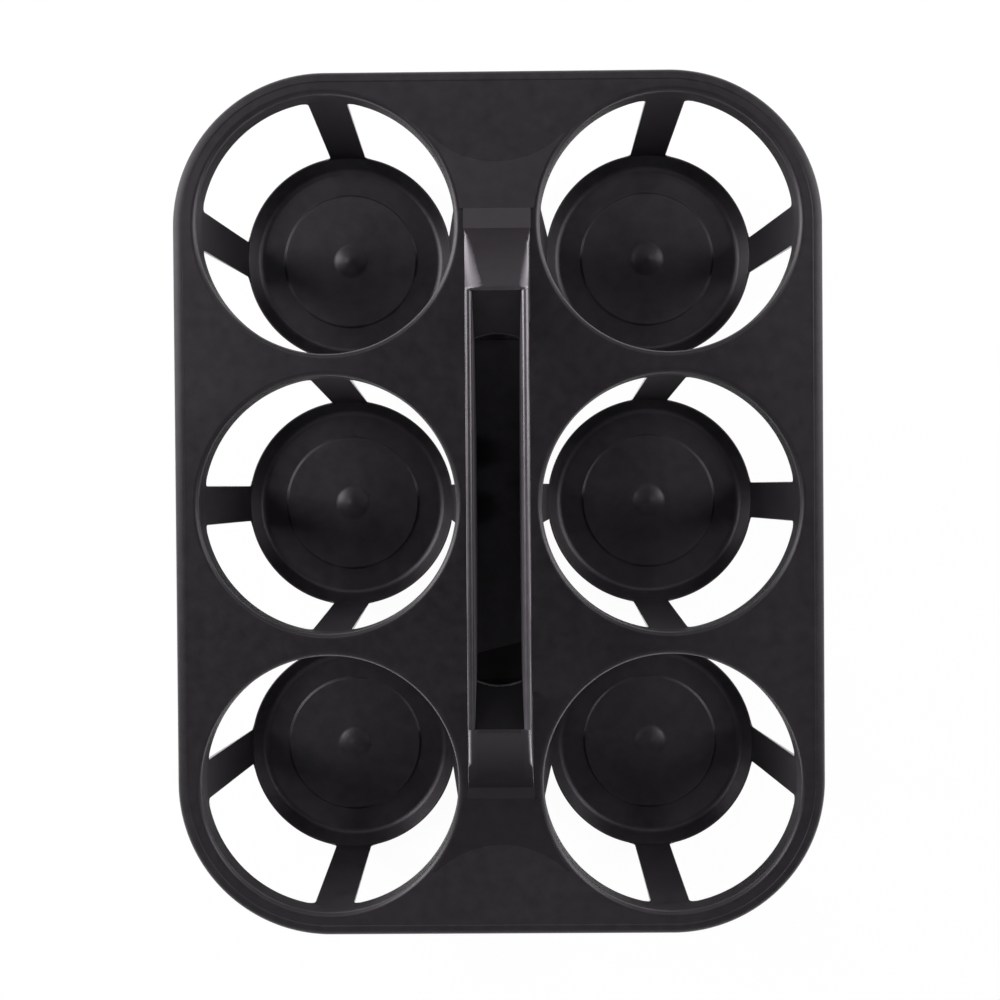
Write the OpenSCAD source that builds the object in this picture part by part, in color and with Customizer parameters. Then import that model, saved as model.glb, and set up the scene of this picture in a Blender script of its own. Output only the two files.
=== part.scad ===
// Six pack carrier: an open moulded tray for round pots with a fixed bridge handle.
// X runs across the tray, Y along the handle and Z up from the ground.
// The origin lies on the ground below the middle of the tray.

/* [Tray] */
// Height of the deck's top face above the ground
deck_h = 100; // [80:1:120]
// Thickness of the deck plate
deck_t = 2; // [1.6:0.1:2.6]
// Flat border between a pocket's mouth and the outer edge
edge_margin = 8.6; // [6.5:0.1:14]
// Radius of the rolled outer edge
edge_roll_r = 4.6; // [3:0.1:5.6]
// Depth of the skirt below the deck's top face
edge_drop = 12; // [8:1:24]
// Wall thickness of the rolled edge and its skirt
edge_t = 2; // [1.4:0.1:2.6]
// Height of the rolled edge above the deck
edge_lip = 0.3; // [0.1:0.1:0.8]
// Width of the small bevel from the rolled edge down to the deck
edge_land = 0.5; // [0.3:0.1:0.9]

/* [Pockets] */
// Distance between the two columns of pockets
pitch_x = 160; // [158:1:190]
// Distance between the rows of pockets
pitch_y = 130.5; // [128:0.5:160]
// Diameter of a pocket's mouth where its roll starts
mouth_d = 125; // [118:1:127]
// Radius of the roll from the deck down into a collar
mouth_roll_r = 2.5; // [2.3:0.1:4]
// Depth of a collar below the deck's top face
collar_drop = 12; // [8:1:24]
// Wall thickness of a collar
collar_t = 1.8; // [1.4:0.1:2.2]

/* [Arms] */
// Number of arms that hang each cup
arm_count = 4; // [3:1:6]
// Width of an arm
arm_w = 18.8; // [12:0.2:26]
// Thickness of an arm
arm_t = 2.2; // [1.6:0.1:3]
// Radius of the fillets at both ends of an arm
arm_fillet_r = 3; // [1:0.5:4]

/* [Cups] */
// Outer diameter of a cup's rim
cup_rim_d = 109.6; // [102:0.2:112]
// Inner diameter at the foot of a cup's wall, where a pot's base sits
cup_foot_d = 97.5; // [88:0.5:99]
// Height of a cup's rim above the ground
cup_h = 9.5; // [8:0.5:16]
// Wall thickness of a cup, measured level
cup_t = 1.8; // [1.2:0.1:2.4]
// Thickness of a cup's base
cup_base_t = 2; // [1.6:0.1:3]
// Radius of the fillet between a cup's base and its wall
cup_fillet_r = 2.5; // [1:0.5:4]
// Diameter of the raised disc in the base
disc_d = 71; // [50:1:80]
// Step from the base up to the disc
disc_step = 0.8; // [0.4:0.1:1.2]
// Diameter of the button in the middle of the disc
nub_d = 17.2; // [14:0.2:24]
// Diameter of the button's flat top
nub_top_d = 12; // [8:0.2:13]
// Height of the button above the disc
nub_h = 1.8; // [1:0.1:3]
// Diameter of the gate mark on the button
gate_d = 4; // [2:0.2:6]
// Height of the gate mark above the button
gate_h = 0.5; // [0.3:0.1:1]

/* [Handle] */
// Height of the handle above the deck
handle_h = 52; // [46:1:80]
// Length of the handle at the deck
handle_foot_l = 263; // [250:0.2:266]
// Length of the handle along its top
handle_top_l = 186.4; // [170:0.2:200]
// Width of the handle at the deck
handle_foot_w = 30.5; // [28.5:0.1:31]
// Width of the handle across its top
handle_top_w = 27; // [24:0.1:28]
// Offset of the handle along the tray from the middle
handle_shift = -2; // [-4:0.5:4]
// Wall thickness of the hollow posts
post_t = 2.5; // [1.8:0.1:3]
// Width of the rim on top of each side
rim_w = 2.9; // [2:0.1:3.6]
// Depth of the recessed panel in a post's sloping face
panel_recess = 0.9; // [0.4:0.1:1.4]
// Height of the plain band between the bank and the panel
panel_foot = 4; // [2:0.5:8]
// Corner radius at the foot of the panel
panel_corner_r = 2.5; // [1:0.5:5]
// Depth of the channel below the rims in the middle of the grip
channel_depth = 24; // [18:1:28]
// Width of the channel at its floor in the middle of the grip
channel_floor_w = 18.8; // [16:0.2:20]
// Length of the arched channel floor
web_l = 148; // [130:1:160]
// Rise of the channel floor from its middle to its ends
web_rise = 9; // [4:0.5:11]
// Thickness of the channel floor
web_t = 2; // [1.6:0.1:3]
// Height of the step at each end of the channel floor
end_step = 2; // [1:0.1:3]
// Radius of the curved step at each end of the channel floor
end_arc_r = 24; // [12:0.5:30]
// Reach of the curved step past the end of the channel floor
end_arc_reach = 2.5; // [2:0.1:5]
// Thickness of the sloping end of the channel
end_t = 3; // [2:0.1:4]
// Length of the finger gap under the grip
gap_l = 170; // [150:1:176]
// Corner radius of the finger gap
gap_corner_r = 10; // [4:0.5:14]
// Depth of the lip that turns down round the slot below the handle
slot_drop = 12; // [6:1:24]
// Wall thickness of that lip
slot_t = 1.8; // [1.4:0.1:2.2]

/* [Roots] */
// Height of the bank that meets the foot of a post
root_h = 3; // [1.5:0.1:5]
// Length of that bank when the handle has no offset
root_l = 5.5; // [4.5:0.5:9]
// Height of the gentle rise in front of the bank
rise_h = 0.8; // [0.5:0.1:1.2]
// Amount by which a bank is wider than the handle
root_extra_w = 0.8; // [0.2:0.1:1.6]
// Flat strip between the rise and the roll of the next mouth
root_gap = 0.5; // [0.2:0.1:1]
// Radius of the flat half moon at each end of the tray
moon_r = 43; // [36:0.5:46]
// Height of the rise where it ends at the half moon
moon_step = 0.3; // [0.2:0.1:0.4]

/* [Hidden] */
$fn = 96;
COLUMNS = [["left", -1], ["right", 1]];
ROWS = [["back", 1], ["middle", 0], ["front", -1]];
ENDS = [["back", 1], ["front", -1]];
POCKETS = [for (r = ROWS, c = COLUMNS) [str(r[0], "_", c[0]), c[1], r[1]]];
RUNS = [["right", 0], ["back", 90], ["left", 180], ["front", 270]];
CORNERS = [for (e = ENDS, c = COLUMNS) [str(e[0], "_", c[0]), c[1], e[1]]];

plastic = [0.13, 0.125, 0.13];
plastic_deep = [0.1, 0.095, 0.1];
over = 1;

mouth_r = mouth_d / 2;
bore_r = mouth_r - mouth_roll_r;
tray_w = pitch_x + mouth_d + 2 * edge_margin;
tray_l = 2 * pitch_y + mouth_d + 2 * edge_margin;
corner_r = mouth_r + edge_margin;
edge_in = edge_roll_r + edge_land;

cup_rim_r = cup_rim_d / 2;
cup_foot_r = cup_foot_d / 2;
cup_slope = (cup_rim_r - cup_t - cup_foot_r) / (cup_h - cup_base_t);
cup_under_r = cup_rim_r - cup_slope * cup_h;

arm_top = deck_h - collar_drop;

foot_y = handle_foot_l / 2;
top_y = handle_top_l / 2;
ramp_run = foot_y - top_y;
ramp_angle = atan(handle_h / ramp_run);
ramp_l = handle_h / sin(ramp_angle);
panel_run = post_t / sin(ramp_angle);
rim_in = handle_top_w / 2 - rim_w;
channel_slope = (rim_in - channel_floor_w / 2) / channel_depth;
web_y = web_l / 2;
web_r = (web_y * web_y + web_rise * web_rise) / (2 * web_rise);
web_mid_z = handle_h - channel_depth;
web_end_z = web_mid_z + web_rise;
web_low_z = web_mid_z - web_t;
gap_top = web_end_z - web_t;
end_z = handle_h - panel_recess / cos(ramp_angle);
slot_w = handle_foot_w - 2 * post_t;
slot_l = 2 * (foot_y - panel_run);
slot_corner_r = 1;
root_w = handle_foot_w + root_extra_w;
wide = handle_foot_w + 2 * over;

// Half length of a post's sloping face at height z above the deck
function ramp_y(z) = foot_y - z / tan(ramp_angle);

// Half width of the handle at height z above the deck
function outer_x(z) = handle_foot_w / 2 - (handle_foot_w - handle_top_w) * z / (2 * handle_h);

// Half width of the channel at height z above the deck
function channel_x(z) = rim_in - channel_slope * (handle_h - z);

// Quarter of a ring in the first quadrant
module quarter_ring(r, t) {
    intersection() {
        difference() {
            circle(r);
            circle(r - t);
        }
        square(r);
    }
}

// Concave corner in the first quadrant, tangent to both axes
module corner_fill(r) {
    difference() {
        square(r);
        translate([r, r]) circle(r);
    }
}

// Rectangle with round corners
module round_plan(w, l, r) {
    square([w - 2 * r, l], center = true);
    square([w, l - 2 * r], center = true);
    for (x = [-1, 1], y = [-1, 1]) {
        translate([x * (w / 2 - r), y * (l / 2 - r)]) circle(r);
    }
}

// Places a pocket's pieces round its axis
module at_pocket(column, row) {
    translate([column * pitch_x / 2, row * pitch_y, 0]) children();
}

// Draws a piece of the handle's back half, or its mirror image at the front
module at_end(side) {
    translate([0, handle_shift, deck_h]) mirror([0, side < 0 ? 1 : 0, 0]) children();
}

// Extrudes an outline of length and height across the handle
module across(width) {
    rotate([90, 0, 90]) linear_extrude(width, center = true) children();
}

// Extrudes an outline of width and height along the handle
module along(length) {
    rotate([90, 0, 0]) linear_extrude(length, center = true) children();
}

// Plan of the deck plate with its six mouths and the slot below the handle
module deck_plan() {
    difference() {
        round_plan(tray_w - 2 * edge_in, tray_l - 2 * edge_in, corner_r - edge_in);
        for (p = POCKETS) {
            translate([p[1] * pitch_x / 2, p[2] * pitch_y]) circle(mouth_r);
        }
        translate([0, handle_shift]) round_plan(slot_w, slot_l, slot_corner_r);
    }
}

// The part of the deck plate round the point x, y that a window of a given size holds
module deck_part(x, y, w, l) {
    color(plastic) translate([0, 0, deck_h - deck_t]) linear_extrude(deck_t) intersection() {
        deck_plan();
        translate([x, y]) square([w, l], center = true);
    }
}

// Deck on one side of the slot, with three mouths
module deck_side(side) {
    deck_part(side * (slot_w + tray_w) / 2, 0, tray_w, tray_l);
}

// Strip of the deck between the slot and one end
module deck_strip(side) {
    deck_part(0, side * tray_l / 2, slot_w, tray_l);
}

// Section of the rolled edge, measured inwards from the outer edge
module edge_section() {
    translate([edge_roll_r, edge_lip - edge_roll_r]) mirror([1, 0]) {
        quarter_ring(edge_roll_r, edge_t);
    }
    translate([0, -edge_drop]) square([edge_t, edge_drop + edge_lip - edge_roll_r]);
    polygon([
        [edge_roll_r, -deck_t],
        [edge_in, -deck_t],
        [edge_in, 0],
        [edge_roll_r, edge_lip]
    ]);
}

// The same section with its outer edge at distance r
module edge_section_at(r) {
    translate([r, 0]) mirror([1, 0]) edge_section();
}

// Straight run of the rolled edge and its skirt, turned to the side that it faces
module edge_run(turn) {
    size = turn % 180 == 0 ? [tray_w, tray_l] : [tray_l, tray_w];
    color(plastic) translate([0, 0, deck_h]) rotate(turn) {
        along(size[1] - 2 * corner_r) edge_section_at(size[0] / 2);
    }
}

// Corner of the rolled edge and its skirt
module edge_corner(column, row) {
    color(plastic) mirror([column < 0 ? 1 : 0, 0, 0]) mirror([0, row < 0 ? 1 : 0, 0]) {
        translate([tray_w / 2 - corner_r, tray_l / 2 - corner_r, deck_h]) {
            rotate_extrude(angle = 90) edge_section_at(corner_r);
        }
    }
}

// Lip that turns down round the slot below the handle
module slot_lip() {
    color(plastic_deep) translate([0, handle_shift, deck_h - slot_drop]) {
        linear_extrude(slot_drop - deck_t) difference() {
            round_plan(slot_w + 2 * slot_t, slot_l + 2 * slot_t, slot_corner_r + slot_t);
            round_plan(slot_w, slot_l, slot_corner_r);
        }
    }
}

// Collar that rolls down from the deck round one mouth
module collar(column, row) {
    color(plastic) at_pocket(column, row) translate([0, 0, deck_h]) rotate_extrude() {
        translate([mouth_r, -mouth_roll_r]) mirror([1, 0]) {
            quarter_ring(mouth_roll_r, collar_t);
        }
        translate([bore_r, -collar_drop]) square([collar_t, collar_drop - mouth_roll_r]);
    }
}

// Face of an arm with fillets at the collar and at the cup's rim
module arm_face() {
    translate([-arm_w / 2, cup_h]) square([arm_w, arm_top - cup_h]);
    for (side = [0, 1]) mirror([side, 0]) {
        translate([arm_w / 2, cup_h]) corner_fill(arm_fillet_r);
        translate([arm_w / 2, arm_top]) mirror([0, 1]) corner_fill(arm_fillet_r);
    }
}

// Arms from one collar's lower edge down to the rim of its cup
module arms(column, row) {
    color(plastic_deep) at_pocket(column, row) for (i = [0 : arm_count - 1]) {
        rotate(i * 360 / arm_count) intersection() {
            rotate_extrude() polygon([
                [bore_r, arm_top],
                [bore_r + arm_t, arm_top],
                [cup_rim_r, cup_h],
                [cup_rim_r - cup_t, cup_h]
            ]);
            translate([bore_r, 0, 0]) across(bore_r) arm_face();
        }
    }
}

// Shallow cup: a level base band that stands on the ground and a sloping wall
module cup(column, row) {
    wall_angle = atan(1 / cup_slope);
    tangent = cup_fillet_r / tan((180 - wall_angle) / 2);
    color(plastic) at_pocket(column, row) rotate_extrude() {
        polygon([
            [disc_d / 2, 0],
            [cup_under_r, 0],
            [cup_rim_r, cup_h],
            [cup_rim_r - cup_t, cup_h],
            [cup_foot_r, cup_base_t],
            [disc_d / 2, cup_base_t]
        ]);
        difference() {
            polygon([
                [cup_foot_r - tangent, cup_base_t],
                [cup_foot_r, cup_base_t],
                [cup_foot_r + tangent * cos(wall_angle), cup_base_t + tangent * sin(wall_angle)],
                [cup_foot_r - tangent, cup_base_t + cup_fillet_r]
            ]);
            translate([cup_foot_r - tangent, cup_base_t + cup_fillet_r]) circle(cup_fillet_r);
        }
    }
}

// Raised disc inside the base band, with its button and gate mark
module foot(column, row) {
    color(plastic) at_pocket(column, row) translate([0, 0, disc_step]) {
        cylinder(d = disc_d, h = cup_base_t);
        translate([0, 0, cup_base_t]) {
            cylinder(d1 = nub_d, d2 = nub_top_d, h = nub_h);
            cylinder(d = gate_d, h = nub_h + gate_h);
        }
    }
}

// Section of the handle inset by t from its outer faces, between two heights
module handle_section(t, low, high) {
    polygon([
        [t - outer_x(low), low],
        [outer_x(low) - t, low],
        [outer_x(high) - t, high],
        [t - outer_x(high), high]
    ]);
}

// Section of the channel, from below its floor to above its rims
module channel_section() {
    polygon([
        [-channel_x(0), 0],
        [channel_x(0), 0],
        [channel_x(handle_h + over), handle_h + over],
        [-channel_x(handle_h + over), handle_h + over]
    ]);
}

// Section of one long side: thick beside the channel and thin below its floor
module side_section() {
    polygon([
        [outer_x(0), 0],
        [outer_x(handle_h), handle_h],
        [rim_in, handle_h],
        [channel_x(web_low_z), web_low_z],
        [outer_x(web_low_z) - post_t, web_low_z],
        [outer_x(0) - post_t, 0]
    ]);
}

// Side outline of the finger gap below the channel's floor
module gap_outline() {
    difference() {
        translate([0, gap_top / 2 - gap_corner_r]) {
            round_plan(gap_l, gap_top + 2 * gap_corner_r, gap_corner_r);
        }
        translate([0, web_mid_z + web_r]) circle(web_r + web_t);
    }
}

// One long side of the handle
module handle_side(side) {
    color(plastic) translate([0, handle_shift, deck_h]) mirror([side < 0 ? 1 : 0, 0, 0]) {
        difference() {
            along(handle_top_l) side_section();
            across(2 * wide) gap_outline();
        }
    }
}

// Arched floor of the channel
module handle_web() {
    color(plastic_deep) translate([0, handle_shift, deck_h]) intersection() {
        along(web_l) channel_section();
        across(wide) translate([0, web_mid_z + web_r]) difference() {
            circle(web_r + web_t);
            circle(web_r);
            translate([0, web_r + web_t]) square(2 * web_r + 2 * web_t, center = true);
        }
    }
}

// Sloping end of the channel with a curved step down to its floor
module channel_end(side) {
    color(plastic_deep) at_end(side) difference() {
        intersection() {
            along(2 * foot_y) channel_section();
            across(wide) polygon([
                [web_y, gap_top],
                [top_y, end_z - end_t],
                [top_y, end_z],
                [web_y, web_end_z + end_step]
            ]);
        }
        translate([0, web_y + end_arc_reach - end_arc_r, web_end_z]) {
            cylinder(r = end_arc_r, h = handle_h);
        }
    }
}

// Recess in the sloping face of a post, open at the crest and round at its foot
module panel_cut() {
    panel_low = (root_h + panel_foot) / sin(ramp_angle);
    panel_l = ramp_l - panel_low + over;
    translate([0, foot_y, 0]) rotate([ramp_angle, 0, 180]) {
        translate([0, panel_low + panel_l, -panel_recess]) linear_extrude(2 * panel_recess) {
            round_plan(2 * rim_in, 2 * panel_l, panel_corner_r);
        }
    }
}

// Hollow post with a sloping face, open below
module handle_post(side) {
    color(plastic) at_end(side) difference() {
        intersection() {
            along(2 * foot_y) handle_section(0, 0, handle_h);
            across(wide) polygon([[top_y, 0], [foot_y, 0], [top_y, handle_h]]);
        }
        intersection() {
            along(2 * foot_y) handle_section(post_t, -over, handle_h);
            across(wide) polygon([
                [top_y - over, -over],
                [ramp_y(-over) - panel_run, -over],
                [top_y - over, (ramp_run - panel_run + over) * tan(ramp_angle)]
            ]);
        }
        panel_cut();
    }
}

// Bank and gentle rise between the foot of a post and the half moon
module handle_root(side) {
    shift = side * handle_shift;
    bank_y = foot_y + root_l - shift;
    edge_y = tray_l / 2 - shift;
    moon_y = edge_y - moon_r;
    fade_y = moon_y + moon_step * (moon_y - bank_y) / (rise_h - moon_step);
    color(plastic) at_end(side) difference() {
        intersection() {
            across(wide + mouth_r) polygon([
                [foot_y, 0],
                [ramp_y(root_h), root_h],
                [bank_y, rise_h],
                [fade_y, 0]
            ]);
            union() {
                linear_extrude(root_h) translate([-root_w / 2, 0]) square([root_w, bank_y]);
                linear_extrude(root_h) translate([-mouth_r, bank_y]) square(mouth_d);
            }
        }
        translate([0, edge_y, -over]) cylinder(r = moon_r, h = root_h + 2 * over);
        for (x = [-1, 1]) {
            translate([x * pitch_x / 2, pitch_y - shift, -over]) {
                cylinder(r = mouth_r + root_gap, h = root_h + 2 * over);
            }
        }
    }
}

for (r = RUNS) {
    edge_run(r[1]);
}
for (c = CORNERS) {
    edge_corner(c[1], c[2]);
}
slot_lip();
for (p = POCKETS) {
    collar(p[1], p[2]);
    arms(p[1], p[2]);
    cup(p[1], p[2]);
    foot(p[1], p[2]);
}
for (c = COLUMNS) {
    deck_side(c[1]);
    handle_side(c[1]);
}
handle_web();
for (e = ENDS) {
    deck_strip(e[1]);
    handle_post(e[1]);
    channel_end(e[1]);
    handle_root(e[1]);
}
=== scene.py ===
import math

import bmesh
import bpy
from mathutils import Matrix, Vector


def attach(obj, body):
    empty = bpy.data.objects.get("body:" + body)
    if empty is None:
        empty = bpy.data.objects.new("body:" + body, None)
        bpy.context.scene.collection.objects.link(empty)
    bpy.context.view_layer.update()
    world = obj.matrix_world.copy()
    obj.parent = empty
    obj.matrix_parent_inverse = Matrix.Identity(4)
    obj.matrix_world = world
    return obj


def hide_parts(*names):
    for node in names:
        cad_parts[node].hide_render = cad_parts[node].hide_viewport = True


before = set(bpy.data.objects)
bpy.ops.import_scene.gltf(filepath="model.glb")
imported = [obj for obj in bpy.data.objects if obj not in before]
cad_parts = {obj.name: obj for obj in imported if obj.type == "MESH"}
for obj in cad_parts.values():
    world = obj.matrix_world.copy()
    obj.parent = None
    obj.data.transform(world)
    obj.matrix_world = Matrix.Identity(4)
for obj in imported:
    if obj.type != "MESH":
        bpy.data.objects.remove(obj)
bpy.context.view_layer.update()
scene = bpy.context.scene

# Sizes in millimetres, as in the part's source where it has them
TRAY_W, TRAY_L, CORNER_R = 302.2, 403.2, 71.1
DECK_H, DECK_T = 100.0, 2.0
PITCH_X, PITCH_Y = 160.0, 130.5

# Rolled edge: radius, wall, height over the deck, bevel down to the deck, depth of the skirt
ROLL_R, EDGE_T, EDGE_LIP, EDGE_LAND, EDGE_DROP = 4.6, 2.0, 0.3, 0.5, 12.0
EDGE_IN = ROLL_R + EDGE_LAND
# Height over which the roll's outside curves, and how far it stops short of each end of the tray
EDGE_RISE, END_TRIM = 3.0, 0.5
DRESSED_L = TRAY_L - 2 * END_TRIM
SKIRT_ROUND = 0.7

# Mouths, collars and arms
MOUTH_R, MOUTH_ROLL, COLLAR_T, COLLAR_DROP, COLLAR_ROUND = 62.5, 2.5, 1.8, 12.0, 0.45
BORE_R = MOUTH_R - MOUTH_ROLL
ARM_COUNT, ARM_W, ARM_T, ARM_FILLET, ARM_ROUND = 4, 18.8, 2.2, 3.0, 0.6

# Cups: rim, foot of the wall inside and below, base, step up to the disc, button and gate mark
RIM_R, RIM_T, RIM_UPRIGHT, CUP_H, FOOT_R, UNDER_R = 54.8, 0.9, 0.9, 9.5, 48.75, 49.3
UNDER_ROUND, RIM_OUT_ROUND, RIM_TOP_ROUND, CUP_FILLET = 1.2, 0.5, 0.4, 4.0
BASE_T, STEP, STEP_HALF, DISC_R = 2.0, 0.8, 0.75, 35.5
DISC_TOP = BASE_T + STEP
NUB_R, NUB_H, GATE_R, GATE_H = 8.6, 2.0, 1.7, 0.3

# Handle: place and half lengths along the tray, widths, inside of the rims, wall of the posts
HANDLE_SHIFT, HANDLE_H, FOOT_Y, TOP_Y = -2.0, 52.0, 131.5, 93.2
HANDLE_FOOT_W, HANDLE_TOP_W, RIM_IN, POST_T = 30.5, 27.0, 10.6, 2.5
RAMP_RISE = HANDLE_H / (FOOT_Y - TOP_Y)
RAMP = math.atan(RAMP_RISE)
# Bank at a post's foot, plain band above it, depth of the panel
ROOT_H, PLAIN_H, PANEL_RECESS = 3.0, 4.0, 0.9
# Foot of the panel along the slope, and the depth of the panel and the wall measured upright
PANEL_LOW = (ROOT_H + PLAIN_H) / math.sin(RAMP)
PANEL_DROP, WALL_RISE = PANEL_RECESS / math.cos(RAMP), POST_T / math.cos(RAMP)
# Worn edges: along the rims, beside the posts' slopes and across their crests
RIM_ROUND, EDGE_ROUND, CREST_ROUND = 1.4, 2.0, 2.0
# Posts: lip at the crest, length over which the panel deepens there, play beside and below the panel
CREST_LIP, CREST_DEEP, PANEL_SIDE, PANEL_FOOT = 0.4, 3.0, 0.3, 0.4
# Least radius of the posts' edges, height share over which it grows, height share over which a worn
# shoulder fades at the crest, and height over which it starts at the foot
EDGE_SHARP, EDGE_FADE, SHOULDER_CREST, SHOULDER_FOOT = 0.15, 0.08, 0.05, 12.0
# Depth below their top over which the rims take their lighter materials, a painted highlight
RIM_BAND = 1.6
# Channel: end of its floor, curved step there, round of the step's edge
WEB_Y, ARC_REACH, ARC_R, STEP_ROUND = 74.0, 2.5, 24.0, 0.5
# Lowest height of the channel's floor, and a height just below the curved steps
WEB_LOW, ARC_LOW = 26.0, 34.2
# Slot in the deck below the handle
SLOT_W, SLOT_L, SLOT_R = 25.5, 256.79, 1.0

# Half moon at both ends of the tray: radius, round of its edge, height that only the edge reaches
MOON_R, MOON_ROUND, MOON_LOW = 43.0, 0.28, 0.15

# Points round a circle, round a corner of the tray, and across half of a post
ROUND, CORNER_POINTS, STATION_POINTS = 192, 48, 36

ARM_TOP = DECK_H - COLLAR_DROP
ARM_IN_SLOPE = (BORE_R - RIM_R + RIM_T) / (ARM_TOP - CUP_H)
ARM_OUT_SLOPE = (BORE_R + ARM_T - RIM_R) / (ARM_TOP - CUP_H)
ARM_SINK = 0.8

POCKETS = [(f"{row}_{col}", sx * PITCH_X / 2, sy * PITCH_Y)
           for row, sy in (("back", 1), ("middle", 0), ("front", -1))
           for col, sx in (("left", -1), ("right", 1))]


def arc(cx, cy, r, start, end, n):
    """Points of an arc, angles in degrees, both ends included."""
    out = []
    for i in range(n + 1):
        a = math.radians(start + (end - start) * i / n)
        out.append((cx + r * math.cos(a), cy + r * math.sin(a)))
    return out


def rounded(points, radii, seg=5, closed=True):
    """Outline with each corner turned into an arc of its own radius, at most half a side long."""
    out = []
    n = len(points)
    for i, p in enumerate(points):
        r = radii[i] if isinstance(radii, (list, tuple)) else radii
        if r <= 0 or (not closed and i in (0, n - 1)):
            out.append(p)
            continue
        a, b, c = Vector(points[i - 1]), Vector(p), Vector(points[(i + 1) % n])
        u, v = (a - b), (c - b)
        room = 0.49 * min(u.length, v.length)
        u.normalize()
        v.normalize()
        half = u.angle(v) / 2
        if half > math.radians(88):
            out.append(p)
            continue
        t = min(r / math.tan(half), room)
        r = t * math.tan(half)
        centre = b + (u + v).normalized() * (r / math.sin(half))
        s, e = b + u * t - centre, b + v * t - centre
        turn = math.atan2(s.x * e.y - s.y * e.x, s.dot(e))
        steps = max(2, round(seg * abs(turn) / (math.pi / 2)))
        for k in range(steps + 1):
            w = turn * k / steps
            out.append((centre.x + s.x * math.cos(w) - s.y * math.sin(w),
                        centre.y + s.x * math.sin(w) + s.y * math.cos(w)))
    return out


def round_rect(w, l, r, n):
    """Points and outward normals of a rectangle with round corners."""
    out = []
    for cx, cy, start in ((w / 2 - r, l / 2 - r, 0), (r - w / 2, l / 2 - r, 90),
                          (r - w / 2, r - l / 2, 180), (w / 2 - r, r - l / 2, 270)):
        for i in range(n + 1):
            a = math.radians(start + 90 * i / n)
            out.append((cx + r * math.cos(a), cy + r * math.sin(a), math.cos(a), math.sin(a)))
    return out


def circle_points(cx, cy, r):
    """Points round a full circle."""
    return [(cx + r * math.cos(2 * math.pi * i / ROUND), cy + r * math.sin(2 * math.pi * i / ROUND))
            for i in range(ROUND)]


def piece(name, verts, faces, node, material, shift=(0, 0, 0)):
    """A mesh piece in millimetres that rides the tray and stands for a CAD node."""
    mesh = bpy.data.meshes.new(name)
    mesh.from_pydata([((x + shift[0]) / 1000, (y + shift[1]) / 1000, (z + shift[2]) / 1000)
                      for x, y, z in verts], [], faces)
    mesh.validate()
    obj = bpy.data.objects.new(name, mesh)
    scene.collection.objects.link(obj)
    bm = bmesh.new()
    bm.from_mesh(mesh)
    bmesh.ops.remove_doubles(bm, verts=bm.verts, dist=1e-7)
    bmesh.ops.recalc_face_normals(bm, faces=bm.faces)
    bm.to_mesh(mesh)
    bm.free()
    finish_piece(obj, node, material)
    return obj


def finish_piece(obj, node, material, sharp=40.0):
    """Shading, material and place in the frame of a finished mesh."""
    mesh = obj.data
    for p in mesh.polygons:
        p.use_smooth = True
    mesh.set_sharp_from_angle(angle=math.radians(sharp))
    mod = obj.modifiers.new("weighted", "WEIGHTED_NORMAL")
    mod.keep_sharp = True
    mod.weight = 60
    mesh.materials.clear()
    mesh.materials.append(material)
    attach(obj, "root")
    nodes = [node] if isinstance(node, str) else list(node)
    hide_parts(*nodes)


def revolve(name, profile, node, material, at, closed=True):
    """Turned piece: the profile holds (radius, height) points."""
    verts, faces, rings = [], [], []
    for r, z in profile:
        if r < 1e-6:
            rings.append([len(verts)])
            verts.append((0.0, 0.0, z))
            continue
        rings.append(list(range(len(verts), len(verts) + ROUND)))
        verts += [(x, y, z) for x, y in circle_points(0, 0, r)]
    pairs = list(zip(rings, rings[1:] + rings[:1])) if closed else list(zip(rings, rings[1:]))
    for a, b in pairs:
        if len(a) == 1 and len(b) == 1:
            continue
        for i in range(ROUND):
            j = (i + 1) % ROUND
            if len(a) == 1:
                faces.append((a[0], b[j], b[i]))
            elif len(b) == 1:
                faces.append((a[i], a[j], b[0]))
            else:
                faces.append((a[i], a[j], b[j], b[i]))
    piece(name, verts, faces, node, material, shift=at)


def skin(count, size, first=0, closed=False):
    """Faces between loops of equal size, and over both ends where the loops don't close a ring."""
    faces = []
    for i in range(count if closed else count - 1):
        a, b = first + i * size, first + ((i + 1) % count) * size
        for k in range(size):
            j = (k + 1) % size
            faces.append((a + k, b + k, b + j, a + j))
    if not closed:
        last = first + (count - 1) * size
        faces.append(tuple(range(first, first + size)))
        faces.append(tuple(range(last, last + size)))
    return faces


def sweep(name, stations, node, material, closed=True):
    """Piece through stations that each hold the same number of (x, y, z) points."""
    verts = [p for s in stations for p in s]
    faces = skin(len(stations), len(stations[0]), closed=closed)
    return piece(name, verts, faces, node, material)


# Materials

# Share of sideways lean from which plastic gets its painted highlight and glossier finish, and share at
# which both are full
LEAN_LOW, LEAN_HIGH = 0.02, 0.5


def math_node(tree, operation, *values):
    """Result of a Math node, whose inputs take numbers or the results of other nodes."""
    node = tree.nodes.new("ShaderNodeMath")
    node.operation = operation
    for socket, value in zip(node.inputs, values):
        if isinstance(value, (int, float)):
            socket.default_value = value
        else:
            tree.links.new(value, socket)
    return node.outputs[0]


def noise(tree, place, scale, detail, roughness=0.5):
    """Noise pattern, with scale as its number of features per metre."""
    node = tree.nodes.new("ShaderNodeTexNoise")
    node.inputs["Scale"].default_value = scale
    node.inputs["Detail"].default_value = detail
    node.inputs["Roughness"].default_value = roughness
    tree.links.new(place, node.inputs["Vector"])
    return node.outputs["Fac"]


def bump(tree, height, strength, distance, under=None):
    """Normal of a faint relief, on top of another one where that is given."""
    node = tree.nodes.new("ShaderNodeBump")
    node.inputs["Strength"].default_value = strength
    node.inputs["Distance"].default_value = distance
    tree.links.new(height, node.inputs["Height"])
    if under is not None:
        tree.links.new(under, node.inputs["Normal"])
    return node.outputs["Normal"]


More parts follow.
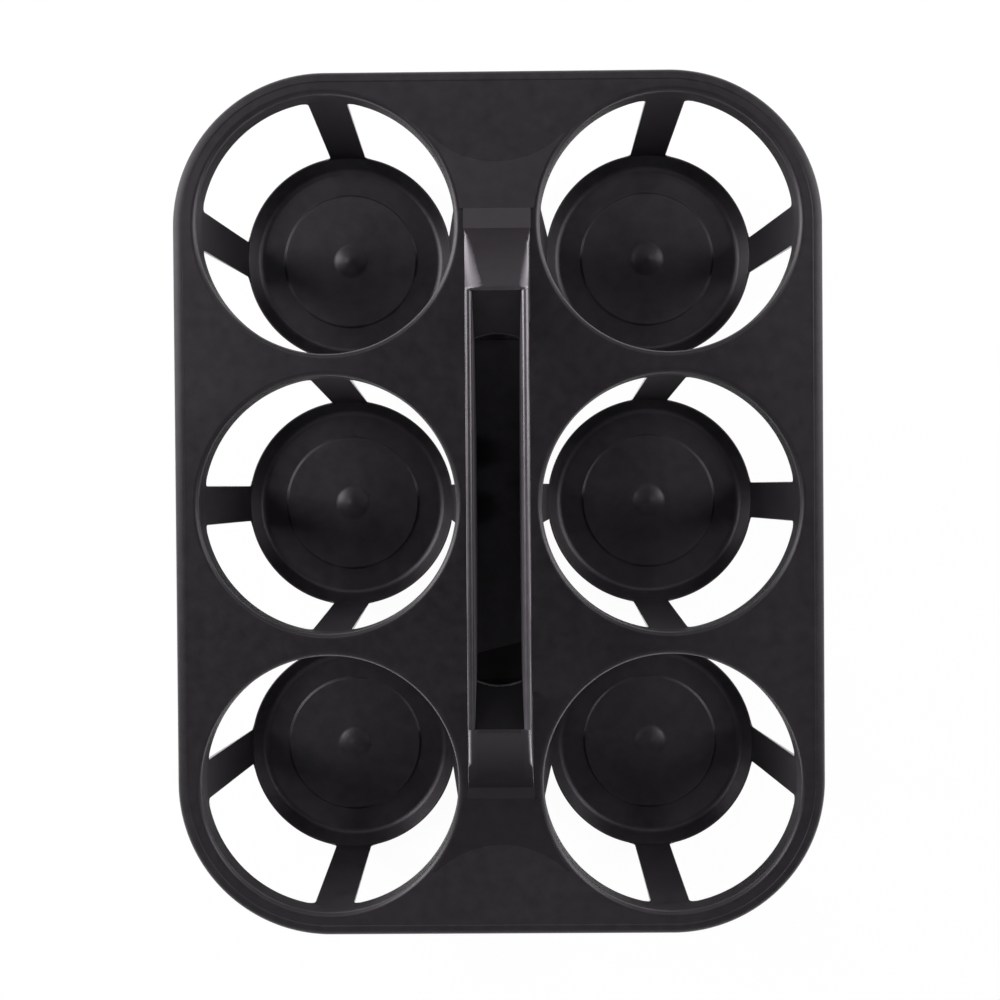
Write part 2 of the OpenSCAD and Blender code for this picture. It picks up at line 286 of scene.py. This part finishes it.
def lean_highlight(tree, coord, colour, plain, highlit):
    """Colour, roughness and shine that go from plain to a painted highlight as the surface leans outwards.

    plain holds a roughness and a shine, the last argument the colour, roughness and shine of the full lean;
    that lighter colour is a painted highlight.
    """
    x_of = []
    for vector in (coord.outputs["Object"], coord.outputs["Normal"]):
        parts = tree.nodes.new("ShaderNodeSeparateXYZ")
        tree.links.new(vector, parts.inputs[0])
        x_of.append(parts.outputs["X"])
    lean = math_node(tree, "MULTIPLY", x_of[1], math_node(tree, "SIGN", x_of[0]))
    share = tree.nodes.new("ShaderNodeMapRange")
    share.interpolation_type = "SMOOTHSTEP"
    share.inputs["From Min"].default_value = LEAN_LOW
    share.inputs["From Max"].default_value = LEAN_HIGH
    tree.links.new(lean, share.inputs["Value"])
    amount = share.outputs["Result"]
    blend = tree.nodes.new("ShaderNodeMixRGB")
    tree.links.new(amount, blend.inputs["Fac"])
    tree.links.new(colour, blend.inputs["Color1"])
    blend.inputs["Color2"].default_value = (*highlit[0], 1)
    rough, shine = (math_node(tree, "MULTIPLY_ADD", amount, high - low, low)
                    for low, high in zip(plain, highlit[1:]))
    return blend.outputs["Color"], rough, shine


def plastic(name, base=(0.0135, 0.0117, 0.0140), rough=0.38, flow=1.0, shine=0.5, mottle=0.4, highlit=None):
    """Black polypropylene as moulded: satin, with faint flow marks and fine handling wear.

    The last argument holds the base, roughness and shine of what leans away from the middle of the tray;
    that lighter base is a painted highlight.
    """
    mat = bpy.data.materials.new(name)
    mat.use_nodes = True
    tree = mat.node_tree
    tree.nodes.clear()
    link = tree.links.new
    out = tree.nodes.new("ShaderNodeOutputMaterial")
    bsdf = tree.nodes.new("ShaderNodeBsdfPrincipled")
    link(bsdf.outputs["BSDF"], out.inputs["Surface"])
    bsdf.inputs["IOR"].default_value = 1.5
    bsdf.inputs["Specular IOR Level"].default_value = shine
    bsdf.inputs["Specular Tint"].default_value = (1.0, 0.93, 1.0, 1.0)

    coord = tree.nodes.new("ShaderNodeTexCoord")
    place = coord.outputs["Object"]
    broad = noise(tree, place, 14, 4)
    patch = noise(tree, place, 160, 5, 0.6)
    wave = noise(tree, place, 38, 2)
    fine = noise(tree, place, 900, 3)
    cloud = math_node(tree, "MULTIPLY_ADD", patch, 0.6, math_node(tree, "MULTIPLY", broad, 0.4))

    tint = tree.nodes.new("ShaderNodeValToRGB")
    dark, light = tint.color_ramp.elements
    dark.position = 0.35
    dark.color = (*(c * (1 - mottle) for c in base), 1)
    light.position = 0.65
    light.color = (*(c * (1 + mottle) for c in base), 1)
    link(cloud, tint.inputs["Fac"])

    if highlit:
        colour, satin, level = lean_highlight(tree, coord, tint.outputs["Color"], (rough, shine), highlit)
        link(level, bsdf.inputs["Specular IOR Level"])
    else:
        colour = tint.outputs["Color"]
        haze = math_node(tree, "MULTIPLY_ADD", cloud, 0.14 * flow, rough - 0.07 * flow)
        satin = math_node(tree, "MULTIPLY_ADD", fine, 0.06, haze)
    link(colour, bsdf.inputs["Base Color"])
    link(satin, bsdf.inputs["Roughness"])

    waves = bump(tree, wave, 0.12 * flow, 0.0012)
    link(bump(tree, fine, 0.05 * flow, 0.0002, waves), bsdf.inputs["Normal"])
    return mat


DECK = plastic("plastic_deck")
# Rolled edge: a slightly lighter base than the deck, painted light, on rougher, less shiny plastic
EDGE = plastic("plastic_edge", base=(0.0175, 0.0152, 0.0181), rough=0.5, flow=0.5, shine=0.34)
ROLL = plastic("plastic_roll", flow=0.5)
ARM = plastic("plastic_arm", flow=0.6)
CUP = plastic("plastic_cup", flow=0.8)
FLOOR_OF_CUP = plastic("plastic_cup_floor", base=(0.0155, 0.0136, 0.0158), rough=0.42)
GRIP = plastic("plastic_grip", flow=0.5)
# Rims: a lighter base than the deck, a painted highlight, and the right rim's lighter still, more painted
# highlight on that side
RIM = plastic("plastic_rim", base=(0.032, 0.0285, 0.0335), rough=0.31, shine=0.75, mottle=0.2)
RIM_RIGHT = plastic("plastic_rim_right", base=(0.075, 0.067, 0.078), rough=0.28, shine=1.0, mottle=0.2)
# Inner walls of the channel: a base nine times as light as the deck's, painted light
WALL = plastic("plastic_wall", base=(0.125, 0.113, 0.129), rough=0.45, mottle=0.1)
# Panel on the ramps' upper faces: a base twice as light as the deck's, painted light, and on faces that lean
# outwards a lighter base still, a painted highlight, with less roughness and more shine
PANEL = plastic("plastic_panel", base=(0.0275, 0.024, 0.0285), rough=0.58, shine=0.12, mottle=0.1,
                highlit=((0.1, 0.088, 0.106), 0.26, 1.0))
# Floor of the channel: a darker base than the deck, painted shade
CHANNEL = plastic("plastic_channel", base=(0.0098, 0.0085, 0.0101), rough=0.42, flow=0.5, shine=0.3)
# Front end of the channel: nearly black, painted shade
CHANNEL_FRONT = plastic("plastic_channel_front", base=(0.003, 0.0026, 0.0031), rough=0.5, shine=0.12)
# Banks at the posts' feet: the back one lighter than the deck, painted light, the front one darker, painted
# shade
BANK_BACK = plastic("plastic_bank_back", base=(0.0205, 0.0178, 0.0212), mottle=0.2)
BANK_FRONT = plastic("plastic_bank_front", base=(0.0065, 0.0056, 0.0067), shine=0.45)

# Deck

def filled(name, outline, holes, top, thick, node, material):
    """Flat plate with holes, both faces filled and walls round every loop."""
    bm = bmesh.new()
    layers = []
    for z in (top, top - thick):
        edges = []
        rings = []
        for loop in [outline] + holes:
            ring = [bm.verts.new((x / 1000, y / 1000, z / 1000)) for x, y in loop]
            edges += [bm.edges.new((ring[i], ring[(i + 1) % len(ring)])) for i in range(len(ring))]
            rings.append(ring)
        bmesh.ops.triangle_fill(bm, use_beauty=True, use_dissolve=False, edges=edges)
        layers.append(rings)
    for a, b in zip(*layers):
        for i in range(len(a)):
            j = (i + 1) % len(a)
            bm.faces.new((a[i], a[j], b[j], b[i]))
    bmesh.ops.recalc_face_normals(bm, faces=bm.faces)
    mesh = bpy.data.meshes.new(name)
    bm.to_mesh(mesh)
    bm.free()
    obj = bpy.data.objects.new(name, mesh)
    scene.collection.objects.link(obj)
    finish_piece(obj, node, material)


deck_outline = [(x, y) for x, y, _, _ in
                round_rect(TRAY_W - 2 * EDGE_IN, DRESSED_L - 2 * EDGE_IN, CORNER_R - EDGE_IN,
                           CORNER_POINTS)]
slot_outline = [(x, y + HANDLE_SHIFT) for x, y, _, _ in round_rect(SLOT_W, SLOT_L, SLOT_R, 6)]
filled("tray_deck", deck_outline, [circle_points(x, y, MOUTH_R) for _, x, y in POCKETS] + [slot_outline],
       DECK_H, DECK_T, ["deck_left", "deck_right", "deck_strip_back", "deck_strip_front"], DECK)

# Rolled edge

# (distance in from the outer edge, height above the deck)
edge_profile = (
    [(ROLL_R * (1 - math.cos(a)), EDGE_LIP - EDGE_RISE * (1 - math.sin(a)))
     for a in (math.radians(d) for d in range(0, 91, 5))]
    + [(ROLL_R + 0.12, EDGE_LIP - 0.03), (ROLL_R + 0.32, 0.08), (EDGE_IN, 0.0), (EDGE_IN, -DECK_T)]
    + arc(ROLL_R, EDGE_LIP - ROLL_R, ROLL_R - EDGE_T, 90, 180, 12)
    + rounded([(EDGE_T, -EDGE_DROP + 3), (EDGE_T, -EDGE_DROP), (0, -EDGE_DROP), (0, -EDGE_DROP + 3)],
              [0, SKIRT_ROUND, SKIRT_ROUND, 0], closed=False)
)
edge_stations = [[(x - nx * d, y - ny * d, DECK_H + z) for d, z in edge_profile]
                 for x, y, nx, ny in round_rect(TRAY_W, DRESSED_L, CORNER_R, CORNER_POINTS)]
edge_nodes = (["edge_" + side for side in ("left", "right", "back", "front")]
              + [f"edge_corner_{row}_{col}" for row in ("back", "front") for col in ("left", "right")])
sweep("rolled_edge", edge_stations, edge_nodes, EDGE)

# Collars, arms, cups and feet

# (radius, height above the deck)
collar_profile = (
    arc(MOUTH_R, -MOUTH_ROLL, MOUTH_ROLL, 90, 180, 12)
    + rounded([(BORE_R, -COLLAR_DROP + 2), (BORE_R, -COLLAR_DROP),
               (BORE_R + COLLAR_T, -COLLAR_DROP), (BORE_R + COLLAR_T, -COLLAR_DROP + 2)],
              [0, COLLAR_ROUND, COLLAR_ROUND, 0], closed=False)
    + arc(MOUTH_R, -MOUTH_ROLL, MOUTH_ROLL - COLLAR_T, 180, 90, 6)
)

# Half of the soft step up to the disc: (share of its half width, share of its height), to its middle
STEP_CURVE = [(c, 0.5 - 0.5 * c * (1.5 - 0.5 * c * c)) for c in (1.0, 0.8, 0.6, 0.45, 0.3, 0.15, 0.0)]

# (radius, height above the ground)
cup_profile = rounded(
    [(DISC_R, 0), (UNDER_R, 0), (RIM_R, CUP_H - RIM_UPRIGHT), (RIM_R, CUP_H), (RIM_R - RIM_T, CUP_H),
     (FOOT_R, BASE_T)] + [(DISC_R + STEP_HALF * c, BASE_T + STEP * k) for c, k in STEP_CURVE],
    [0, UNDER_ROUND, RIM_OUT_ROUND, RIM_TOP_ROUND, RIM_TOP_ROUND, CUP_FILLET] + [0] * len(STEP_CURVE),
    seg=8)

# (radius, height above the raised disc)
dome_r = (NUB_R ** 2 + NUB_H ** 2) / (2 * NUB_H)
dome_edge = math.degrees(math.asin(NUB_R / dome_r))
foot_profile = (
    [(0.0, NUB_H + GATE_H), (GATE_R * 0.5, NUB_H + GATE_H * 0.9), (GATE_R, NUB_H + GATE_H * 0.35)]
    + [(x, z + NUB_H - dome_r) for x, z in arc(0, 0, dome_r, 78, 90 - dome_edge + 2, 14)]
    + [(NUB_R + 0.25, 0.05), (NUB_R + 0.9, 0.0)]
    + [(DISC_R - STEP_HALF * c, -STEP * k) for c, k in STEP_CURVE]
    + [(DISC_R, -BASE_T), (0.0, -BASE_T)]
)


def arm_inner(z):
    """Distance of an arm's inner face from the pocket's axis at height z."""
    return RIM_R - RIM_T + ARM_IN_SLOPE * (z - CUP_H)


def arm_outer(z):
    """Distance of an arm's outer face from the pocket's axis at height z."""
    return RIM_R + ARM_OUT_SLOPE * (z - CUP_H)


def arm_half(z):
    """Half width of an arm at height z, with the fillets at its ends."""
    w, r = ARM_W / 2, ARM_FILLET
    if z <= CUP_H or z >= ARM_TOP:
        return w + r
    if z < CUP_H + r:
        return w + r - math.sqrt(max(r * r - (CUP_H + r - z) ** 2, 0))
    if z > ARM_TOP - r:
        return w + r - math.sqrt(max(r * r - (z - ARM_TOP + r) ** 2, 0))
    return w


# Heights of the loops round an arm, closer together in the fillets at its ends
TURNS = [1 - math.cos(math.radians(a)) for a in range(0, 91, 10)]
ARM_LEVELS = ([CUP_H - ARM_SINK] + [CUP_H + ARM_FILLET * t for t in TURNS]
              + [CUP_H + ARM_FILLET + 1.5, 30, 50, 70, ARM_TOP - ARM_FILLET - 1.5]
              + [ARM_TOP - ARM_FILLET * t for t in TURNS] + [ARM_TOP + ARM_SINK])


def arm_stations():
    """Loops round one arm at rising heights, with rounded long edges and faces that follow the cup."""
    levels = sorted(set(round(z, 5) for z in ARM_LEVELS))
    out = []
    for z in levels:
        w, inner, outer = arm_half(z), arm_inner(z), arm_outer(z)
        t = outer - inner
        section = rounded([(-w, 0), (w, 0), (w, t), (-w, t)], ARM_ROUND, seg=4)
        dense = []
        for i, p in enumerate(section):
            q = section[(i + 1) % len(section)]
            dense.append(p)
            if abs(q[0] - p[0]) > 4:
                dense += [(p[0] + (q[0] - p[0]) * k / 8, p[1]) for k in range(1, 8)]
        out.append([(math.sqrt((inner + d) ** 2 - s * s), s, z) for s, d in dense])
    return out


ARM_LOOPS = arm_stations()


def arms_of(name, node, x, y):
    """The arms of the pocket round the point x, y, as one piece."""
    verts, faces = [], []
    for k in range(ARM_COUNT):
        a = math.radians(360 / ARM_COUNT * k)
        c, s = math.cos(a), math.sin(a)
        faces += skin(len(ARM_LOOPS), len(ARM_LOOPS[0]), first=len(verts))
        verts += [(px * c - py * s, px * s + py * c, pz) for loop in ARM_LOOPS for px, py, pz in loop]
    piece(name, verts, faces, node, ARM, shift=(x, y, 0))


for label, px, py in POCKETS:
    revolve(f"pocket_collar_{label}", collar_profile, f"collar_{label}", ROLL, (px, py, DECK_H))
    arms_of(f"hanger_arms_{label}", f"arms_{label}", px, py)
    revolve(f"pocket_cup_{label}", cup_profile, f"cup_{label}", CUP, (px, py, 0))
    revolve(f"cup_floor_{label}", foot_profile, f"foot_{label}", FLOOR_OF_CUP,
            (px, py, DISC_TOP), closed=False)

# Handle

def copy_of(node):
    """A copy of a CAD node's mesh as an object of its own, with its seams closed."""
    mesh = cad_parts[node].data.copy()
    obj = bpy.data.objects.new("part_" + node, mesh)
    scene.collection.objects.link(obj)
    bm = bmesh.new()
    bm.from_mesh(mesh)
    bmesh.ops.remove_doubles(bm, verts=bm.verts, dist=2e-6)
    bmesh.ops.recalc_face_normals(bm, faces=bm.faces)
    bm.to_mesh(mesh)
    bm.free()
    return obj


def united(names):
    """One mesh from several CAD nodes that meet face to face."""
    base = copy_of(names[0])
    others = [copy_of(n) for n in names[1:]]
    for other in others:
        mod = base.modifiers.new("union", "BOOLEAN")
        mod.operation = "UNION"
        mod.solver = "EXACT"
        mod.object = other
    graph = bpy.context.evaluated_depsgraph_get()
    mesh = bpy.data.meshes.new_from_object(base.evaluated_get(graph))
    base.modifiers.clear()
    base.data = mesh
    for other in others:
        bpy.data.objects.remove(other)
    return base


def bevelled(obj, pick, offset, segments):
    """Rounds the edges that pick(edge) chooses, after flat faces are joined."""
    bm = bmesh.new()
    bm.from_mesh(obj.data)
    bmesh.ops.remove_doubles(bm, verts=bm.verts, dist=5e-6)
    bmesh.ops.dissolve_limit(bm, angle_limit=math.radians(0.06), verts=bm.verts, edges=bm.edges)
    chosen = [e for e in bm.edges if pick(e)]
    bmesh.ops.bevel(bm, geom=chosen, offset=offset / 1000, offset_type="OFFSET", segments=segments,
                    profile=0.5, affect="EDGES", clamp_overlap=False, loop_slide=True)
    bm.to_mesh(obj.data)
    bm.free()


def long_rim(edge):
    """Whether an edge is a long one on top of the grip."""
    a, b = (v.co * 1000 for v in edge.verts)
    return min(a.z, b.z) > DECK_H + HANDLE_H - 0.02 and abs(a.y - b.y) > 20


def on_circle(edge, centre_y, radius, low):
    """Whether an edge above a height lies on an upright cylinder round the point 0, centre_y."""
    ends = [v.co * 1000 for v in edge.verts]
    return all(abs(math.hypot(p.x, p.y - centre_y) - radius) < 0.03 and p.z > low for p in ends)


GRIP_NODES = ["handle_side_left", "handle_side_right", "channel_end_back", "channel_end_front", "handle_web"]
GRIP_LOOKS = [GRIP, CHANNEL, WALL, RIM, RIM_RIGHT, CHANNEL_FRONT]


def grip_look(x, y, z, level):
    """Material of a face of the grip, from its middle and whether it is level enough to be a floor."""
    if abs(y - HANDLE_SHIFT) > TOP_Y or z < DECK_H + WEB_LOW:
        return GRIP
    if z > DECK_H + HANDLE_H - RIM_BAND and abs(x) > RIM_IN - 0.3:
        return RIM if x < 0 else RIM_RIGHT
    if level and abs(x) < RIM_IN:
        return CHANNEL_FRONT if y < 0 and z > DECK_H + ARC_LOW else CHANNEL
    return WALL if abs(x) < RIM_IN + 0.2 else GRIP


grip = united(GRIP_NODES)
grip.name = "bridge_grip"
bevelled(grip, long_rim, RIM_ROUND, 6)
for side in (1, -1):
    centre = HANDLE_SHIFT + side * (WEB_Y + ARC_REACH - ARC_R)
    bevelled(grip, lambda e: on_circle(e, centre, ARC_R, DECK_H + ARC_LOW), STEP_ROUND, 3)
finish_piece(grip, GRIP_NODES, GRIP)
for look in GRIP_LOOKS[1:]:
    grip.data.materials.append(look)
for poly in grip.data.polygons:
    x, y, z = (c * 1000 for c in poly.center)
    poly.material_index = GRIP_LOOKS.index(grip_look(x, y, z, poly.normal.z > 0.4))


def ease(t):
    """Soft step from 0 to 1 as t goes from 0 to 1."""
    t = min(max(t, 0.0), 1.0)
    return t * t * (3 - 2 * t)


def post_station(y, left, right, depth, soft):
    """Loop round a hollow post at distance y from the handle's middle, looking along it.

    left and right hold the width of the worn shoulder at the crest and the height share above which
    the edge is rounded; depth and soft are the panel's share of its full depth and its edge's width.
    """
    h = (FOOT_Y - y) * RAMP_RISE
    along = (FOOT_Y - y) / math.cos(RAMP)
    up = h / HANDLE_H
    outer = (HANDLE_FOOT_W - (HANDLE_FOOT_W - HANDLE_TOP_W) * up) / 2
    lip = CREST_LIP * max(0.0, 1 - (y - TOP_Y) / CREST_ROUND) ** 2
    drop = PANEL_DROP * (depth + (1 - depth) * ease(1 - (y - TOP_Y) / CREST_DEEP))

    def shoulder(width, start):
        """Width of the worn shoulder here, and radius of the edge beside it."""
        wide = max(width * up * ease((1 - up) / SHOULDER_CREST) * ease(h / SHOULDER_FOOT), 0.01)
        grown = EDGE_SHARP + (EDGE_ROUND - EDGE_SHARP) * ease((up - start) / EDGE_FADE)
        return wide, min(grown, 0.5 * h)

    def height(x, wide, r):
        """Height above the deck at a distance x from the middle."""
        inside = ease((RIM_IN + PANEL_SIDE - abs(x)) / soft)
        start = ease((along - PANEL_LOW + PANEL_FOOT) / (3 * soft))
        over = max(0.0, abs(x) - outer + r)
        edge = h - r + math.sqrt(max(r * r - over * over, 0.0))
        highlit = h - max(0.0, abs(x) - outer + wide) ** 2 / (2 * wide) * min(1.0, wide)
        return min(edge, highlit, h - drop * inside * start - lip * inside)

    def upper(wide, r):
        """Distances from the middle, from the edge inwards, closer together where the form turns."""
        gap = outer - RIM_IN - PANEL_SIDE
        xs = [r * (1 - math.cos(math.radians(d))) for d in range(0, 91, 10)]
        for x in sorted([wide * k / 10 for k in range(1, 11)] + [gap + soft * k / 6 for k in range(7)]):
            if x > xs[-1] + 0.05:
                xs.append(x)
        count = STATION_POINTS - len(xs)
        last = xs[-1]
        return [outer - x for x in xs] + [(outer - last) * (1 - k / count) for k in range(1, count)]

    worn_left, worn_right = shoulder(*left), shoulder(*right)
    flank = HANDLE_FOOT_W / 2 - 0.6 * (HANDLE_FOOT_W / 2 - outer)
    loop = [(-HANDLE_FOOT_W / 2, 0.0), (-flank, 0.4 * height(outer, *worn_left))]
    loop += [(-x, height(x, *worn_left)) for x in upper(*worn_left)] + [(0.0, height(0.0, 0.01, 0.1))]
    loop += [(x, height(x, *worn_right)) for x in reversed(upper(*worn_right))]
    loop += [(flank, 0.4 * height(outer, *worn_right)), (HANDLE_FOOT_W / 2, 0.0)]
    inner = max(0.05, h - WALL_RISE)
    low, high = HANDLE_FOOT_W / 2 - POST_T, outer - POST_T
    loop += [(low, 0.0), (high, inner), (0.0, inner), (-high, inner), (-low, 0.0)]
    return [(x, y, DECK_H + z) for x, z in loop]


def post(side, left, right, depth, soft):
    """Hollow post at the back (side 1) or the front (side -1), with PANEL on all that faces up.

    Its stations lie closer together at the foot and at the crest.
    """
    stops = ([FOOT_Y - 0.25, FOOT_Y - 1.2] + [FOOT_Y - 2.2 - 0.35 * k for k in range(14)]
             + [FOOT_Y - 8 - 1.1 * k for k in range(24)]
             + [TOP_Y + 4.1, TOP_Y + 3.3, TOP_Y + 2.6]
             + [TOP_Y + CREST_ROUND * k / 5 for k in range(5, -1, -1)])
    rows = []
    for y in stops:
        row = post_station(y, left, right, depth, soft)
        rows.append([(x, side * py + HANDLE_SHIFT, z) for x, py, z in row])
    name = "back" if side > 0 else "front"
    obj = sweep("ramp_post_" + name, rows, "handle_post_" + name, GRIP, closed=False)
    obj.data.materials.append(PANEL)
    for poly in obj.data.polygons:
        if poly.normal.z > 0.1:
            poly.material_index = 1


post(1, (12.0, 0.1), (5.5, 0.22), 0.3, 4.0)
post(-1, (0.0, 0.4), (0.0, 0.4), 0.35, 2.0)

for name, edge_y, look in (("back", TRAY_L / 2, BANK_BACK), ("front", -TRAY_L / 2, BANK_FRONT)):
    root = copy_of("handle_root_" + name)
    root.name = "handle_bank_" + name
    bevelled(root, lambda e: on_circle(e, edge_y, MOON_R, DECK_H + MOON_LOW), MOON_ROUND, 3)
    finish_piece(root, "handle_root_" + name, look, sharp=20)

lip = copy_of("slot_lip")
lip.name = "slot_rim"
finish_piece(lip, "slot_lip", EDGE, sharp=30)

# Floor and background

FLOOR_HALF = 6.0


def white_floor(name, colour, glow_part, glow_strength):
    """Pale floor that camera, glossy and transmission rays see as white with a faint shadow."""
    mat = bpy.data.materials.new(name)
    mat.use_nodes = True
    tree = mat.node_tree
    tree.nodes.clear()
    out = tree.nodes.new("ShaderNodeOutputMaterial")
    diffuse = tree.nodes.new("ShaderNodeBsdfDiffuse")
    diffuse.inputs["Color"].default_value = (*colour, 1)
    glow = tree.nodes.new("ShaderNodeEmission")
    glow.inputs["Color"].default_value = (1, 1, 1, 1)
    glow.inputs["Strength"].default_value = glow_strength
    path = tree.nodes.new("ShaderNodeLightPath")
    seen = math_node(tree, "MAXIMUM", path.outputs["Is Camera Ray"], path.outputs["Is Glossy Ray"])
    seen = math_node(tree, "MAXIMUM", seen, path.outputs["Is Transmission Ray"])
    mix = tree.nodes.new("ShaderNodeMixShader")
    tree.links.new(math_node(tree, "MULTIPLY", seen, glow_part), mix.inputs["Fac"])
    tree.links.new(diffuse.outputs[0], mix.inputs[1])
    tree.links.new(glow.outputs[0], mix.inputs[2])
    tree.links.new(mix.outputs[0], out.inputs["Surface"])
    return mat


floor_mesh = bpy.data.meshes.new("floor")
floor_mesh.from_pydata([(-FLOOR_HALF, -FLOOR_HALF, 0), (FLOOR_HALF, -FLOOR_HALF, 0),
                        (FLOOR_HALF, FLOOR_HALF, 0), (-FLOOR_HALF, FLOOR_HALF, 0)], [], [(0, 1, 2, 3)])
floor = bpy.data.objects.new("floor", floor_mesh)
scene.collection.objects.link(floor)
floor.data.materials.append(white_floor("floor_pale", (0.8, 0.8, 0.8), 0.93, 1.03))


def white_world(strength):
    """Weak white light from all sides, which the camera sees as full white."""
    world = bpy.data.worlds.new("studio")
    world.use_nodes = True
    tree = world.node_tree
    tree.nodes.clear()
    out = tree.nodes.new("ShaderNodeOutputWorld")
    path = tree.nodes.new("ShaderNodeLightPath")
    mix = tree.nodes.new("ShaderNodeMixShader")
    tree.links.new(path.outputs["Is Camera Ray"], mix.inputs["Fac"])
    for slot, level in ((1, strength), (2, 1.0)):
        background = tree.nodes.new("ShaderNodeBackground")
        background.inputs["Color"].default_value = (1, 1, 1, 1)
        background.inputs["Strength"].default_value = level
        tree.links.new(background.outputs[0], mix.inputs[slot])
    tree.links.new(mix.outputs[0], out.inputs["Surface"])
    return world


scene.world = white_world(0.08)

# Lamps, in metres

def softbox(name, at, size, radiance, aim=(0, 0, 0.05)):
    """Rectangular lamp of a given size and brightness that faces the point aim."""
    light = bpy.data.lights.new(name, "AREA")
    light.shape = "RECTANGLE"
    light.size, light.size_y = size
    light.energy = radiance * math.pi * size[0] * size[1]
    obj = bpy.data.objects.new(name, light)
    scene.collection.objects.link(obj)
    obj.location = at
    obj.rotation_euler = (Vector(aim) - Vector(at)).to_track_quat("-Z", "Y").to_euler()
    return obj


softbox("box_left", (-1.25, 0.5, 0.65), (0.7, 1.4), 8.2)
softbox("box_right", (1.25, 0.4, 0.65), (0.7, 1.4), 5.4)
softbox("box_back", (0.0, 1.1, 1.2), (1.2, 0.6), 1.3)
softbox("box_front", (0.0, -0.9, 1.35), (1.2, 0.6), 0.6)
softbox("box_front_low", (0.0, -1.6, 0.5), (1.6, 1.0), 0.65)
table = softbox("light_table", (0, 0, 0.0006), (1.4, 1.4), 1.5, aim=(0, 0, 1))
table.visible_camera = False

# Camera: place in metres, small tilts from straight down in radians, focal length per sensor width

CAMERA_AT = (0.005, 0.0076, 0.684)
TILT_X, TILT_Y, TILT_Z = 0.00992, -0.00771, 0.00762
SENSOR_W, FOCAL_SHARE = 36.0, 1.2575

camera = bpy.data.cameras.new("camera")
camera.sensor_fit = "HORIZONTAL"
camera.sensor_width = SENSOR_W
camera.lens = SENSOR_W * FOCAL_SHARE
camera.clip_start = 0.01
cam = bpy.data.objects.new("camera", camera)
scene.collection.objects.link(cam)
to_cam = Matrix.Rotation(TILT_Z, 3, "Z") @ Matrix.Rotation(TILT_X, 3, "X") @ Matrix.Rotation(TILT_Y, 3, "Y")
cam.matrix_world = Matrix.Translation(CAMERA_AT) @ to_cam.transposed().to_4x4()
scene.camera = cam

scene.view_settings.view_transform = "Standard"

bpy.context.view_layer.update()
